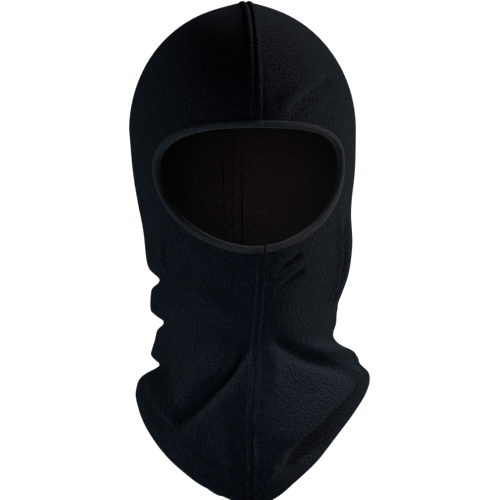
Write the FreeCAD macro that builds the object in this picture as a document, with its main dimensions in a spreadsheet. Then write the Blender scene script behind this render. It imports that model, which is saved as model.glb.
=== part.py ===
"""Fleece balaclava, modelled as worn: hood, face opening, throat and a bib that ends in a V hem.

Two fleece panels are mirror images. They meet in one seam that runs from the top of the face
opening over the crown and down the back, and from the bottom of the opening down the throat to
the hem. A folded jersey strip binds the face opening over a narrow elastic. The hem is turned
up inside. The front faces -Y, the wearer's left is +X, and +Z is up. The origin is the point
under the crown where the top of the head bears on the opened seam allowances.
"""
import FreeCAD, Part
import math
import os

import Sketcher
from FreeCAD import Placement, Rotation, Vector

doc = FreeCAD.newDocument("Balaclava")
sheet = doc.addObject("Spreadsheet::Sheet", "Dimensions")

# Driving dimensions, in millimetres and degrees.
DIMENSIONS = {
    "fleece_thickness": 2.6,
    "seam_allowance": 7.0,
    "hem_depth": 25.0,
    "dome_height": 96.2,
    "opening_half_width": 68.5,
    "opening_top": -90.2,
    "opening_widest": -119.8,
    "opening_bottom": -178.8,
    "opening_top_radius": 260.0,
    "opening_bottom_radius": 90.0,
    "opening_reach": 150.0,
    "binding_thickness": 0.9,
    "binding_width": 5.0,
    "binding_fold": 1.0,
    "elastic_width": 1.8,
    "elastic_play": 0.1,
    "hem_bottom": -366.9,
    "hem_round": 62.0,
    "hem_slope": 50.0,
    "hem_spread": 150.0,
    "hem_floor": 420.0,
    "thread_width": 0.6,
    "thread_height": 0.4,
    "grading_gap": 1.0,
    "crown_gap": 1.0,
    "seam_row_offset": 5.0,
    "hem_row_low": 18.0,
    "hem_row_high": 22.0,
    "binding_row_offset": 3.8,
    "bartack_width": 2.0,
    "label_width": 25.0,
    "label_length": 34.0,
    "label_thickness": 0.6,
    "label_top": -215.0,
    "label_gap": 2.4,
    "label_stitch_play": 0.2,
}

# Cross-sections of the hood's outer face: height, half width, half depth and centre along Y.
STATIONS = {
    "brow": (-91.0, 84.5, 106.0, 3.0),
    "cheek": (-140.0, 83.0, 104.0, 2.0),
    "jaw": (-185.0, 79.0, 98.0, 0.0),
    "chin": (-215.0, 74.0, 92.0, -3.0),
    "throat": (-250.0, 66.5, 84.0, -4.0),
    "collar": (-275.0, 79.0, 96.0, -4.0),
    "shoulder": (-300.0, 87.0, 104.0, -4.0),
    "bib": (-375.0, 93.0, 116.0, -4.0),
}

SIZE_LIMIT = 500.0  # larger than the object, for boxes that only trim


def fill_sheet():
    row = 1
    cells = dict(DIMENSIONS)
    for station, values in STATIONS.items():
        for part, value in zip(("height", "half_width", "half_depth", "centre"), values):
            cells[f"{station}_{part}"] = value
    for alias, value in cells.items():
        sheet.set(f"A{row}", alias)
        sheet.set(f"B{row}", str(value))
        sheet.setAlias(f"B{row}", alias)
        row += 1
    doc.recompute()


def size(alias):
    """A spreadsheet cell's value, for first positions that the constraints then drive."""
    return float(sheet.get(alias))


def cell(alias):
    return f"Dimensions.{alias}"


def plane(body, role):
    return next(f for f in body.Origin.OriginFeatures if f.Role == role)


def new_sketch(body, name, role, lift=None):
    """A sketch on one of the body's own origin planes, lifted along the plane's normal."""
    sketch = body.newObject("Sketcher::SketchObject", name)
    sketch.AttachmentSupport = (plane(body, role), [""])
    sketch.MapMode = "FlatFace"
    if lift is not None:
        sketch.setExpression("AttachmentOffset.Base.z", lift)
    return sketch


def drive(sketch, constraint, expression):
    """Adds a constraint and binds its value to an expression."""
    index = sketch.addConstraint(constraint)
    sketch.setExpression(f"Constraints[{index}]", expression)
    return index


# ---------------------------------------------------------------- shared forms

def section_sketch(body, name, station, grow):
    """The left half of one elliptical cross-section, grown by an expression."""
    sketch = new_sketch(body, name, "XY_Plane", cell(f"{station}_height"))
    half_width, half_depth = size(f"{station}_half_width"), size(f"{station}_half_depth")
    centre = Vector(0, size(f"{station}_centre"), 0)
    ellipse = Part.Ellipse(centre + Vector(0, half_depth, 0), centre - Vector(half_width, 0, 0), centre)
    front_to_back = Part.ArcOfEllipse(ellipse, math.pi, 2 * math.pi)
    sketch.addGeometry(front_to_back, False)
    sketch.exposeInternalGeometry(0)
    major, minor = 1, 2
    seam = sketch.addGeometry(Part.LineSegment(front_to_back.EndPoint, front_to_back.StartPoint), False)
    sketch.addConstraint(Sketcher.Constraint("Coincident", 0, 2, seam, 1))
    sketch.addConstraint(Sketcher.Constraint("Coincident", seam, 2, 0, 1))
    sketch.addConstraint(Sketcher.Constraint("PointOnObject", 0, 3, -2))
    sketch.addConstraint(Sketcher.Constraint("PointOnObject", 0, 1, -2))
    sketch.addConstraint(Sketcher.Constraint("PointOnObject", 0, 2, -2))
    sketch.addConstraint(Sketcher.Constraint("Vertical", major))
    drive(sketch, Sketcher.Constraint("DistanceY", -1, 1, 0, 3, centre.y), cell(f"{station}_centre"))
    for line, half in ((major, "half_depth"), (minor, "half_width")):
        length = 2 * size(f"{station}_{half}")
        grown = f"2 * ({cell(station + '_' + half)} + {grow})"
        drive(sketch, Sketcher.Constraint("Distance", line, length), grown)
    return sketch


def hood_form(name, grow):
    """The left half of the solid inside the hood's outer face, grown outwards by an expression."""
    body = doc.addObject("PartDesign::Body", name)
    dome = body.newObject("PartDesign::AdditiveEllipsoid", name + "_dome")
    dome.Angle1 = 0
    dome.Angle2 = 90
    dome.Angle3 = 180
    dome.Placement = Placement(Vector(), Rotation(Vector(0, 0, 1), -90))
    dome.setExpression("Radius1", f"{cell('dome_height')} + {grow}")
    dome.setExpression("Radius2", f"{cell('brow_half_depth')} + {grow}")
    dome.setExpression("Radius3", f"{cell('brow_half_width')} + {grow}")
    dome.setExpression("Placement.Base.y", cell("brow_centre"))
    dome.setExpression("Placement.Base.z", cell("brow_height"))
    sketches = [section_sketch(body, f"{name}_{station}", station, grow) for station in STATIONS]
    doc.recompute()
    loft = body.newObject("PartDesign::AdditiveLoft", name + "_skirt")
    loft.Profile = sketches[0]
    loft.Sections = sketches[1:]
    loft.Ruled = True
    body.Tip = loft
    doc.recompute()
    return body


def opening_form(name, grow):
    """The face opening's outline as a prism through the front wall, grown by an expression."""
    body = doc.addObject("PartDesign::Body", name)
    sketch = new_sketch(body, name + "_outline", "XZ_Plane")
    half_width, widest = size("opening_half_width"), size("opening_widest")
    top, bottom = size("opening_top"), size("opening_bottom")
    top_radius, bottom_radius = size("opening_top_radius"), size("opening_bottom_radius")

    def side_radius(drop, big):
        """Radius of the arc that joins an arc of radius big to the widest point, drop away."""
        return (2 * drop * big - drop ** 2 - half_width ** 2) / (2 * (big - half_width))

    upper = side_radius(top - widest, top_radius)
    lower = side_radius(widest - bottom, bottom_radius)
    top_centre = Vector(0, top - top_radius, 0)
    bottom_centre = Vector(0, bottom + bottom_radius, 0)
    upper_centre = Vector(half_width - upper, widest, 0)
    lower_centre = Vector(half_width - lower, widest, 0)
    widest_point = Vector(half_width, widest, 0)
    top_joint = top_centre + (upper_centre - top_centre).normalize() * top_radius
    bottom_joint = bottom_centre + (lower_centre - bottom_centre).normalize() * bottom_radius

    def mirrored(point):
        return Vector(-point.x, point.y, 0)

    def middle(centre, radius, start, end):
        return centre + ((start + end) * 0.5 - centre).normalize() * radius

    def arc(centre, radius, start, end):
        return Part.Arc(start, middle(centre, radius, start, end), end)

    # Counter-clockwise from the top: every arc ends where the next begins.
    arcs = [
        arc(top_centre, top_radius, top_joint, mirrored(top_joint)),
        arc(mirrored(upper_centre), upper, mirrored(top_joint), mirrored(widest_point)),
        arc(mirrored(lower_centre), lower, mirrored(widest_point), mirrored(bottom_joint)),
        arc(bottom_centre, bottom_radius, mirrored(bottom_joint), bottom_joint),
        arc(lower_centre, lower, bottom_joint, widest_point),
        arc(upper_centre, upper, widest_point, top_joint),
    ]
    for piece in arcs:
        sketch.addGeometry(piece, False)
    count = len(arcs)
    for index in range(count):
        sketch.addConstraint(Sketcher.Constraint("Tangent", index, 2, (index + 1) % count, 1))
    upper_left, bottom_arc, lower_right, upper_right = 1, 3, 4, 5
    sketch.addConstraint(Sketcher.Constraint("PointOnObject", 0, 3, -2))
    sketch.addConstraint(Sketcher.Constraint("PointOnObject", bottom_arc, 3, -2))
    sketch.addConstraint(Sketcher.Constraint("Symmetric", upper_left, 2, lower_right, 2, -2))
    drive(sketch, Sketcher.Constraint("Radius", 0, top_radius), f"{cell('opening_top_radius')} + {grow}")
    drive(sketch, Sketcher.Constraint("Radius", bottom_arc, bottom_radius),
          f"{cell('opening_bottom_radius')} + {grow}")
    drive(sketch, Sketcher.Constraint("DistanceY", -1, 1, 0, 3, top_centre.y),
          f"{cell('opening_top')} - {cell('opening_top_radius')}")
    drive(sketch, Sketcher.Constraint("DistanceY", -1, 1, bottom_arc, 3, bottom_centre.y),
          f"{cell('opening_bottom')} + {cell('opening_bottom_radius')}")
    drive(sketch, Sketcher.Constraint("DistanceX", -1, 1, upper_right, 1, half_width),
          f"{cell('opening_half_width')} + {grow}")
    drive(sketch, Sketcher.Constraint("DistanceY", -1, 1, upper_right, 3, widest), cell("opening_widest"))
    pad = body.newObject("PartDesign::Pad", name + "_prism")
    pad.Profile = sketch
    pad.setExpression("Length", cell("opening_reach"))
    body.Tip = pad
    doc.recompute()
    return body


def hem_form(name, lift):
    """Everything under the V of the hem, with the V moved up by an expression, square to itself."""
    body = doc.addObject("PartDesign::Body", name)
    sketch = new_sketch(body, name + "_outline", "XZ_Plane", f"-{cell('hem_spread')}")
    radius, slope = size("hem_round"), math.radians(size("hem_slope"))
    centre = Vector(0, size("hem_bottom") + radius, 0)
    spread, floor = size("hem_spread"), -size("hem_floor")
    joint = centre + Vector(math.sin(slope), -math.cos(slope), 0) * radius
    far = joint + Vector(math.cos(slope), math.sin(slope), 0) * (spread - joint.x) / math.cos(slope)

    def mirrored(point):
        return Vector(-point.x, point.y, 0)

    arc = Part.Arc(mirrored(joint), centre - Vector(0, radius, 0), joint)
    corners = [joint, far, Vector(spread, floor, 0)]
    corners += [mirrored(corner) for corner in reversed(corners)]
    sketch.addGeometry(arc, False)
    for start, end in zip(corners, corners[1:]):
        sketch.addGeometry(Part.LineSegment(start, end), False)
    right, right_side, base, left_side, left = 1, 2, 3, 4, 5
    sketch.addConstraint(Sketcher.Constraint("Tangent", 0, 2, right, 1))
    sketch.addConstraint(Sketcher.Constraint("Tangent", left, 2, 0, 1))
    for first, second in ((right, right_side), (right_side, base), (base, left_side), (left_side, left)):
        sketch.addConstraint(Sketcher.Constraint("Coincident", first, 2, second, 1))
    sketch.addConstraint(Sketcher.Constraint("Vertical", right_side))
    sketch.addConstraint(Sketcher.Constraint("Vertical", left_side))
    sketch.addConstraint(Sketcher.Constraint("Horizontal", base))
    sketch.addConstraint(Sketcher.Constraint("PointOnObject", 0, 3, -2))
    sketch.addConstraint(Sketcher.Constraint("Symmetric", right, 2, left, 1, -2))
    drive(sketch, Sketcher.Constraint("Radius", 0, radius), f"{cell('hem_round')} - ({lift})")
    drive(sketch, Sketcher.Constraint("DistanceY", -1, 1, 0, 3, centre.y),
          f"{cell('hem_bottom')} + {cell('hem_round')}")
    drive(sketch, Sketcher.Constraint("Angle", -1, 1, right, 1, slope), f"{cell('hem_slope')} * 1 deg")
    drive(sketch, Sketcher.Constraint("DistanceX", -1, 1, right_side, 1, spread), cell("hem_spread"))
    drive(sketch, Sketcher.Constraint("DistanceY", base, 1, -1, 1, -floor), cell("hem_floor"))
    pad = body.newObject("PartDesign::Pad", name + "_prism")
    pad.Profile = sketch
    pad.setExpression("Length", f"2 * {cell('hem_spread')}")
    body.Tip = pad
    doc.recompute()
    return body


def box(name, low, high):
    """A trimming box; each corner coordinate is a number or an expression."""
    made = doc.addObject("Part::Box", name)
    for axis, side, start, end in zip("xyz", ("Length", "Width", "Height"), low, high):
        made.setExpression(side, f"({end}) - ({start})")
        made.setExpression(f"Placement.Base.{axis}", f"{start}")
    return made


def cut(name, base, *tools):
    for number, tool in enumerate(tools):
        last = number == len(tools) - 1
        made = doc.addObject("Part::Cut", name if last else f"{name}_cut_{number}")
        made.Base, made.Tool = base, tool
        base = made
    return base


def common(name, base, *tools):
    for number, tool in enumerate(tools):
        last = number == len(tools) - 1
        made = doc.addObject("Part::Common", name if last else f"{name}_common_{number}")
        made.Base, made.Tool = base, tool
        base = made
    return base


def fuse(name, first, second):
    made = doc.addObject("Part::Fuse", name)
    made.Base, made.Tool = first, second
    return made


def mirrored_copy(name, source):
    """The same piece on the other side of the seam plane."""
    made = doc.addObject("Part::Mirroring", name)
    made.Source = source
    made.Normal = Vector(1, 0, 0)
    return made


def both_sides(name, left_half):
    """One piece that runs across the seam plane, from its left half."""
    return fuse(name, left_half, mirrored_copy(name + "_mirrored", left_half))


fill_sheet()

# Every form below is the left half, from the seam plane outwards.
outer_face = hood_form("outer_face", "0")
inner_face = hood_form("inner_face", f"-{cell('fleece_thickness')}")
doubled_face = hood_form("doubled_face", f"-2 * {cell('fleece_thickness')}")
thread_face = hood_form("thread_face", cell("thread_height"))
inner_thread_face = hood_form(
    "inner_thread_face", f"-2 * {cell('fleece_thickness')} - {cell('thread_height')}")
binding_outer = hood_form("binding_outer", cell("binding_thickness"))
binding_inner = hood_form("binding_inner", f"-{cell('fleece_thickness')} - {cell('binding_thickness')}")
binding_thread = hood_form("binding_thread", f"{cell('binding_thickness')} + {cell('thread_height')}")

opening_edge = opening_form("opening_edge", "0")
binding_gutter = opening_form("binding_gutter", cell("binding_fold"))
elastic_inside = opening_form("elastic_inside", f"{cell('binding_fold')} + {cell('elastic_play')}")
elastic_outside = opening_form(
    "elastic_outside", f"{cell('binding_fold')} + {cell('elastic_play')} + {cell('elastic_width')}")
fleece_edge = opening_form(
    "fleece_edge", f"{cell('binding_fold')} + 2 * {cell('elastic_play')} + {cell('elastic_width')}")
binding_row_inside = opening_form("binding_row_inside", cell("binding_row_offset"))
binding_row_outside = opening_form(
    "binding_row_outside", f"{cell('binding_row_offset')} + {cell('thread_width')}")
binding_edge = opening_form("binding_edge", cell("binding_width"))
graded_edge = opening_form("graded_edge", f"{cell('binding_width')} + {cell('grading_gap')}")

below_hem = hem_form("below_hem", "0")
below_hem_fold = hem_form("below_hem_fold", cell("hem_depth"))

# ---------------------------------------------------------------- fleece panels

nodes = {}

# The cavity follows the fleece's inner face. It steps in by one more layer where the seam
# allowances lie opened flat and where the hem is turned up, but not beside the binding.
allowance_slab = box(
    "allowance_slab",
    (f"-{cell('seam_allowance')}", -SIZE_LIMIT, -SIZE_LIMIT),
    (cell("seam_allowance"), SIZE_LIMIT, SIZE_LIMIT))
graded_allowance = cut("graded_allowance", allowance_slab, graded_edge)
single_layer = cut("single_layer", inner_face, graded_allowance, below_hem_fold)
cavity = fuse("cavity", doubled_face, single_layer)
nodes["left_panel"] = cut("left_panel", outer_face, cavity, fleece_edge, below_hem)
nodes["right_panel"] = mirrored_copy("right_panel", nodes["left_panel"])

# ---------------------------------------------------------------- face opening

plain_wall = cut("plain_wall", outer_face, inner_face)
bound_wall = cut("bound_wall", plain_wall, binding_gutter)
binding_ring = cut("binding_ring", binding_edge, opening_edge)
binding_block = common("binding_block", cut("binding_shell", binding_outer, binding_inner), binding_ring)
nodes["face_binding"] = both_sides("face_binding", cut("half_binding", binding_block, bound_wall))

elastic_ring = cut("elastic_ring", elastic_outside, elastic_inside)
nodes["face_elastic"] = both_sides("face_elastic", common("half_elastic", plain_wall, elastic_ring))

binding_thread_shell = cut("binding_thread_shell", binding_thread, binding_outer)
binding_row_ring = cut("binding_row_ring", binding_row_outside, binding_row_inside)
nodes["binding_topstitch"] = both_sides(
    "binding_topstitch", common("half_binding_row", binding_thread_shell, binding_row_ring))

bartack_box = box(
    "bartack_box",
    (0, -SIZE_LIMIT, f"{cell('opening_bottom')} - {cell('binding_row_offset')}"),
    (f"{cell('bartack_width')} / 2", 0, cell("opening_bottom")))
nodes["binding_bartack"] = both_sides(
    "binding_bartack", common("half_bartack", binding_thread_shell, bartack_box))

# ---------------------------------------------------------------- seam and hem threads

thread_shell = cut("thread_shell", thread_face, outer_face)
inner_thread_shell = cut("inner_thread_shell", doubled_face, inner_thread_face)
over_opening = f"{cell('opening_top')} + {cell('binding_width')} + {cell('grading_gap')}"
under_opening = f"{cell('opening_bottom')} - {cell('binding_width')} - {cell('grading_gap')}"


def seam_run(run, name, start, end):
    """The slab between two planes square to X that holds one run of a row of stitches.

    The crown's slab is left open for the width of the crown gap at the dome's pole.
    """
    if run == "throat":
        return box(f"throat_{name}", (start, -SIZE_LIMIT, -SIZE_LIMIT), (end, 0, under_opening))
    front_end = f"{cell('brow_centre')} - {cell('crown_gap')} / 2"
    back_start = f"{cell('brow_centre')} + {cell('crown_gap')} / 2"
    front = box(f"crown_{name}_front", (start, -SIZE_LIMIT, over_opening), (end, front_end, SIZE_LIMIT))
    back = box(f"crown_{name}_back", (start, back_start, -SIZE_LIMIT), (end, SIZE_LIMIT, SIZE_LIMIT))
    return fuse(f"crown_{name}", front, back)


# The seam's rows and its chain stop where the hem's rows cross them.
row_start, row_end = cell("seam_row_offset"), f"{cell('seam_row_offset')} + {cell('thread_width')}"
for run in ("crown", "throat"):
    row_slab = cut(f"{run}_row_slab", seam_run(run, "row", row_start, row_end), below_hem_fold)
    row = common(f"{run}_topstitch_left", thread_shell, row_slab)
    nodes[f"{run}_topstitch_left"] = row
    nodes[f"{run}_topstitch_right"] = mirrored_copy(f"{run}_topstitch_right", row)
    chain_slab = cut(
        f"{run}_chain_slab", seam_run(run, "chain", 0, f"{cell('thread_width')} / 2"), below_hem_fold)
    nodes[f"{run}_seam_thread"] = both_sides(
        f"{run}_seam_thread", common(f"half_{run}_chain", inner_thread_shell, chain_slab))

for level in ("low", "high"):
    height = cell(f"hem_row_{level}")
    below = hem_form(f"below_hem_row_{level}", height)
    above = hem_form(f"above_hem_row_{level}", f"{height} + {cell('thread_width')}")
    ring = cut(f"hem_row_ring_{level}", above, below)
    nodes[f"hem_topstitch_{level}"] = both_sides(
        f"hem_topstitch_{level}", common(f"half_hem_row_{level}", thread_shell, ring))

hem_cover_low = hem_form("hem_cover_low", f"{cell('hem_row_low')} - {cell('thread_width')}")
hem_cover_high = hem_form("hem_cover_high", f"{cell('hem_row_high')} + 2 * {cell('thread_width')}")
hem_cover_ring = cut("hem_cover_ring", hem_cover_high, hem_cover_low)
nodes["hem_cover_thread"] = both_sides(
    "hem_cover_thread", common("half_hem_cover", inner_thread_shell, hem_cover_ring))

# ---------------------------------------------------------------- care label

# The nape between the chin and throat stations leans forwards going down, and the label lies along it.
nape_run = (f"({cell('chin_half_depth')} + {cell('chin_centre')}"
            f" - {cell('throat_half_depth')} - {cell('throat_centre')})")
nape_lean = f"atan({nape_run} / ({cell('chin_height')} - {cell('throat_height')}))"
label_back = (f"({cell('throat_half_depth')} + {cell('throat_centre')} - 2 * {cell('fleece_thickness')}"
              f" + ({cell('label_top')} - {cell('throat_height')}) * tan({nape_lean}) - {cell('label_gap')})")
care_label = doc.addObject("Part::Box", "care_label")
care_label.Placement = Placement(Vector(), Rotation(Vector(-1, 0, 0), 1))
care_label.setExpression("Length", cell("label_width"))
care_label.setExpression("Width", cell("label_thickness"))
care_label.setExpression("Height", cell("label_length"))
care_label.setExpression("Placement.Rotation.Angle", nape_lean)
care_label.setExpression("Placement.Base.x", f"-{cell('label_width')} / 2")
care_label.setExpression(
    "Placement.Base.y",
    f"{label_back} - {cell('label_length')} * sin({nape_lean})"
    f" - {cell('label_thickness')} * cos({nape_lean})")
care_label.setExpression(
    "Placement.Base.z",
    f"{cell('label_top')} - {cell('label_length')} * cos({nape_lean})"
    f" + {cell('label_thickness')} * sin({nape_lean})")
nodes["care_label"] = care_label

# The label hangs from stitches on both seam allowances, just above its top edge.
stitch_base = f"{cell('label_top')} + {cell('label_stitch_play')}"
label_stitch_slab = box(
    "label_stitch_slab",
    (cell("thread_width"), 0, stitch_base),
    (cell("seam_allowance"), SIZE_LIMIT, f"{stitch_base} + {cell('thread_width')}"))
nodes["care_label_stitch"] = both_sides(
    "care_label_stitch", common("half_label_stitch", inner_thread_shell, label_stitch_slab))

doc.recompute()


def check_and_export():
    bad = [o.Name for o in doc.Objects if "Invalid" in o.State or "Error" in o.State]
    if bad:
        raise RuntimeError(f"objects that failed to recompute: {bad}")
    os.makedirs("parts", exist_ok=True)
    for old in os.listdir("parts"):
        if old.endswith(".step"):
            os.remove(os.path.join("parts", old))
    for name, made in nodes.items():
        made.Label = name
        shape = made.Shape
        if shape.isNull() or not shape.isValid() or not shape.Solids:
            raise RuntimeError(f"{name} has no valid solid")
        shape.exportStep(f"parts/{name}.step")
        print(f"{name}: {len(shape.Solids)} solid(s), {shape.Volume / 1000:.2f} cm3")


check_and_export()
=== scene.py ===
"""Looks of a fleece balaclava, filled out as on a head: cloth, binding, stitching and studio.

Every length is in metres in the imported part's frame: the front faces -Y, the wearer's left is +X.
Outlines and folds are given in millimetres, as a pattern cutter writes them, and scaled once by MM.
"""
import math

import bmesh
import bpy
import numpy as np
from bpy.props import FloatProperty, FloatVectorProperty, PointerProperty
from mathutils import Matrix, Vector


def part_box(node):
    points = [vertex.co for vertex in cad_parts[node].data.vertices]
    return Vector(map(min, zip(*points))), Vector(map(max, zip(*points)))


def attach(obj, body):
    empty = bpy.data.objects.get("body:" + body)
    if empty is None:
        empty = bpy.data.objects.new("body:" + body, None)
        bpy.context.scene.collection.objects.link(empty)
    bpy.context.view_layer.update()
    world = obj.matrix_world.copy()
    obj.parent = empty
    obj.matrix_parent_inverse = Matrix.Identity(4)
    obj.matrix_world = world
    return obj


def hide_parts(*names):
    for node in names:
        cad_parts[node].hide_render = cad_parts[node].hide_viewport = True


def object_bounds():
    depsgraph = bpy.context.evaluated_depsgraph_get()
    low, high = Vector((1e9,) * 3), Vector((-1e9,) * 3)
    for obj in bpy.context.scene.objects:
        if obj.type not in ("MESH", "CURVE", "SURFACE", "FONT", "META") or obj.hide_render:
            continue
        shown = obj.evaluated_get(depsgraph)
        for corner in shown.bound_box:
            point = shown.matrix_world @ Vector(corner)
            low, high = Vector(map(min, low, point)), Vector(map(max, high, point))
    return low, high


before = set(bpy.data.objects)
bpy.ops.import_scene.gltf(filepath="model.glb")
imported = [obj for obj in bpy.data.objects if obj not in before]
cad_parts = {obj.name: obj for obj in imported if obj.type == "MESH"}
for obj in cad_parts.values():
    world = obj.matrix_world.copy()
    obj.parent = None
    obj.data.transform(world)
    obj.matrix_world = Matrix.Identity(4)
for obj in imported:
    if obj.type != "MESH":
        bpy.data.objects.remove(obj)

bl_info = {
    "name": "Fleece Balaclava",
    "version": (1, 0, 0),
    "blender": (4, 5, 0),
    "location": "3D View > Sidebar > Balaclava",
    "description": "Builds the cloth, binding, stitches, label and studio of a fleece balaclava",
    "category": "Add Mesh",
}

MM = 0.001
CAD_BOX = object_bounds()
BINDING_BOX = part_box("face_binding")
LABEL_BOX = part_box("care_label")
HEM_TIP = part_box("left_panel")[0].z / MM
SIDES = {"left": 1, "right": -1}

# ---------------------------------------------------------------- form, in millimetres

BROW = -91.0
DOME = 92.5
ARC_PER_DEGREE = 1.5

# Half widths by height, on the wearer's left and on the wearer's right.
HALF_WIDTH = {
    1: ((-367, 93), (-300, 92), (-284, 93), (-271, 92), (-264, 84), (-259, 82), (-255, 80), (-251, 73),
        (-248, 70.5), (-240, 71), (-226, 68.5), (-214, 73), (-200, 78), (-180, 81), (-155, 80.5), (-125, 83),
        (-91, 84.2)),
    -1: ((-367, 80), (-300, 80), (-288, 79.5), (-280, 76), (-270, 69), (-256, 65), (-240, 64), (-218, 68),
         (-200, 70), (-188, 72), (-165, 74.5), (-145, 78), (-120, 82.5), (-91, 84.8)),
}
FRONT_DEPTH = ((-367, 117), (-335, 112), (-305, 106), (-280, 98), (-262, 91), (-248, 88), (-225, 92),
               (-200, 96), (-180, 98), (-140, 101), (-110, 102), (-91, 102))
BACK_DEPTH = ((-367, 109), (-320, 103), (-295, 98), (-272, 90), (-250, 81), (-232, 85), (-215, 90),
              (-185, 99), (-140, 106), (-91, 109))

# The hem's height above its tip by the turn from the front, in degrees.
HEM_BACK = ((120, 76), (135, 56), (150, 31), (165, 10), (174, 3), (180, 2))
HEM_LINE = {
    1: ((0, 0.3), (4, 1.6), (9, 5.2), (14, 10.4), (17, 14.6), (24, 23.6), (31, 32.4), (37, 40.7),
        (43, 48.7), (50, 57.3), (58, 66), (67, 75.5), (77, 84.6), (88, 90), (97, 91), (107, 87), *HEM_BACK),
    -1: ((0, 0.3), (7, 2.4), (15, 6.4), (23, 11.4), (30, 16.0), (40, 25.0), (49, 33.5), (56, 41.5),
         (63, 50.5), (70, 59.5), (78, 68.5), (86, 77), (95, 82), (106, 82), *HEM_BACK),
}

# Folds: path of (turn, height), then lift, spread on the right of the path, spread on its left,
# and how far the crest leans over to the left of the path.
FOLDS = (
    # wearer's left
    (((66, -261), (59, -267), (45, -282), (34, -294), (26, -307), (15, -320), (8, -333), (6, -350)),
     12.0, 13, 3.0, 6.5),
    (((60, -280), (47, -293), (36, -308), (27, -320), (19, -332), (14, -343)), -13.0, 4.5, 5.5, 0),
    (((12, -246), (16, -250), (24, -255), (35, -262), (44, -268), (53, -275)), -8.5, 8, 4.5, 0),
    (((34, -252), (48, -255), (62, -257), (76, -259), (92, -262)), 4.0, 5, 6, 0),
    (((11, -250), (10, -270), (9, -290)), 2.8, 5, 5, 0),
    (((25, -184), (16, -191), (6, -199)), -5.0, 3.0, 3.2, 0),
    (((28, -195), (18, -203), (7, -213)), -5.0, 3.2, 3.4, 0),
    (((26, -190), (17, -197), (7, -206)), 1.8, 3, 3, 0),
    (((17, -80), (26, -71), (33, -64), (40, -59), (48, -55)), -6.5, 3.3, 3.0, 0),
    (((12, -73), (22, -63), (31, -56), (42, -49)), 3.4, 4.5, 6, 0),
    (((38, -76), (53, -66)), -1.8, 3.5, 3.5, 0),
    (((57, -150), (58, -185), (60, -222)), 2.4, 4, 4, 0),
    (((66, -156), (66, -190), (68, -224)), -5.5, 4, 4, 0),
    (((70, -240), (95, -243), (130, -240), (160, -236)), -3.5, 6, 6, 0),
    (((80, -226), (115, -224), (150, -226)), 2.5, 8, 5, 0),
    (((98, -262), (125, -262), (155, -256)), 4.5, 8, 5, 2),
    (((80, -280), (110, -278), (150, -272)), -4.0, 6, 6, 0),
    # wearer's right
    (((-57, -198), (-72, -203), (-100, -204), (-135, -198)), -7.5, 6, 4, 0),
    (((-64, -212), (-85, -222), (-110, -224), (-140, -219)), 3.0, 9, 3.5, 3.0),
    (((-62, -228), (-78, -234), (-105, -235), (-140, -231)), -6.0, 4, 4, 0),
    (((-64, -247), (-86, -255), (-115, -257), (-145, -252)), 2.5, 8, 4, 2.0),
    (((-54, -273), (-60, -270), (-68, -268), (-85, -267), (-112, -267), (-145, -263)), -6.5, 4.5, 4, 0),
    (((-60, -172), (-62, -188), (-62, -202)), 2.0, 3.5, 3.5, 0),
    (((-3, -250), (-11, -264), (-18, -277), (-27, -290), (-38, -302), (-46, -309)), -13.0, 4.5, 7.5, 0),
    (((-14, -252), (-23, -267), (-33, -280), (-43, -294)), 6.0, 13, 4.5, 4.5),
    (((-43, -309), (-51, -298), (-60, -285), (-70, -272), (-80, -266)), 6.0, 9, 3.2, 3.5),
    (((-48, -316), (-58, -303), (-68, -290), (-80, -280)), -3.5, 5, 5, 0),
    (((-40, -211), (-25, -222), (-11, -233)), 2.2, 9, 9, 0),
    (((-13, -306), (-12, -330), (-10, -354)), 2.2, 7, 7, 0),
    (((-24, -318), (-30, -334)), -1.5, 7, 7, 0),
    (((-20, -196), (-33, -186), (-45, -176)), 1.2, 8, 8, 0),
    (((-92, -280), (-120, -276), (-150, -270)), 4.0, 8, 5, 2.0),
)

CLOTH = 2.6
ALLOWANCE = 7.0
SEAM_ROW = 5.3
HEM_BAND = 19.0
HEM_TURN_UP = 25.0
BINDING_WIDTH = 5.0
OPENING_HALF_WIDTH = BINDING_BOX[1].x / MM - BINDING_WIDTH
OPENING_TOP = BINDING_BOX[1].z / MM - BINDING_WIDTH
OPENING_BOTTOM = BINDING_BOX[0].z / MM + BINDING_WIDTH
OPENING_WIDEST = -121.0


def along(points, place):
    """A smooth curve through (place, value) points, read at each place."""
    places, values = np.array(points, float).T
    slopes = np.gradient(values, places)
    place = np.clip(place, places[0], places[-1])
    start = np.clip(np.searchsorted(places, place) - 1, 0, len(places) - 2)
    length = places[start + 1] - places[start]
    s = (place - places[start]) / length
    return ((1 + 2 * s) * (1 - s) ** 2 * values[start] + s * (1 - s) ** 2 * length * slopes[start]
            + s * s * (3 - 2 * s) * values[start + 1] + s * s * (s - 1) * length * slopes[start + 1])


def bell(distance, spread):
    return np.exp(-(distance / spread) ** 2)


def hem_height(turn):
    around = np.abs(turn)
    return HEM_TIP + np.where(turn > 0, along(HEM_LINE[1], around), along(HEM_LINE[-1], around))


def plain_form(turn, rise):
    """Points of the hood without folds. rise is 1 at the crown, 0 at the brow and -1 at the hem."""
    around = np.radians(turn)
    up = np.clip(rise, 0, 1) * math.pi / 2
    z = np.where(rise > 0, BROW + DOME * np.sin(up), BROW - rise * (hem_height(turn) - BROW))
    below = np.minimum(z, BROW)
    wide = np.where(turn > 0, along(HALF_WIDTH[1], below), along(HALF_WIDTH[-1], below))
    deep = np.where(np.abs(turn) < 90, along(FRONT_DEPTH, below), along(BACK_DEPTH, below))
    x = wide * np.cos(up) * np.sin(around)
    y = -deep * np.cos(up) * np.cos(around)
    return np.stack([x, y, z], axis=-1)


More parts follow.
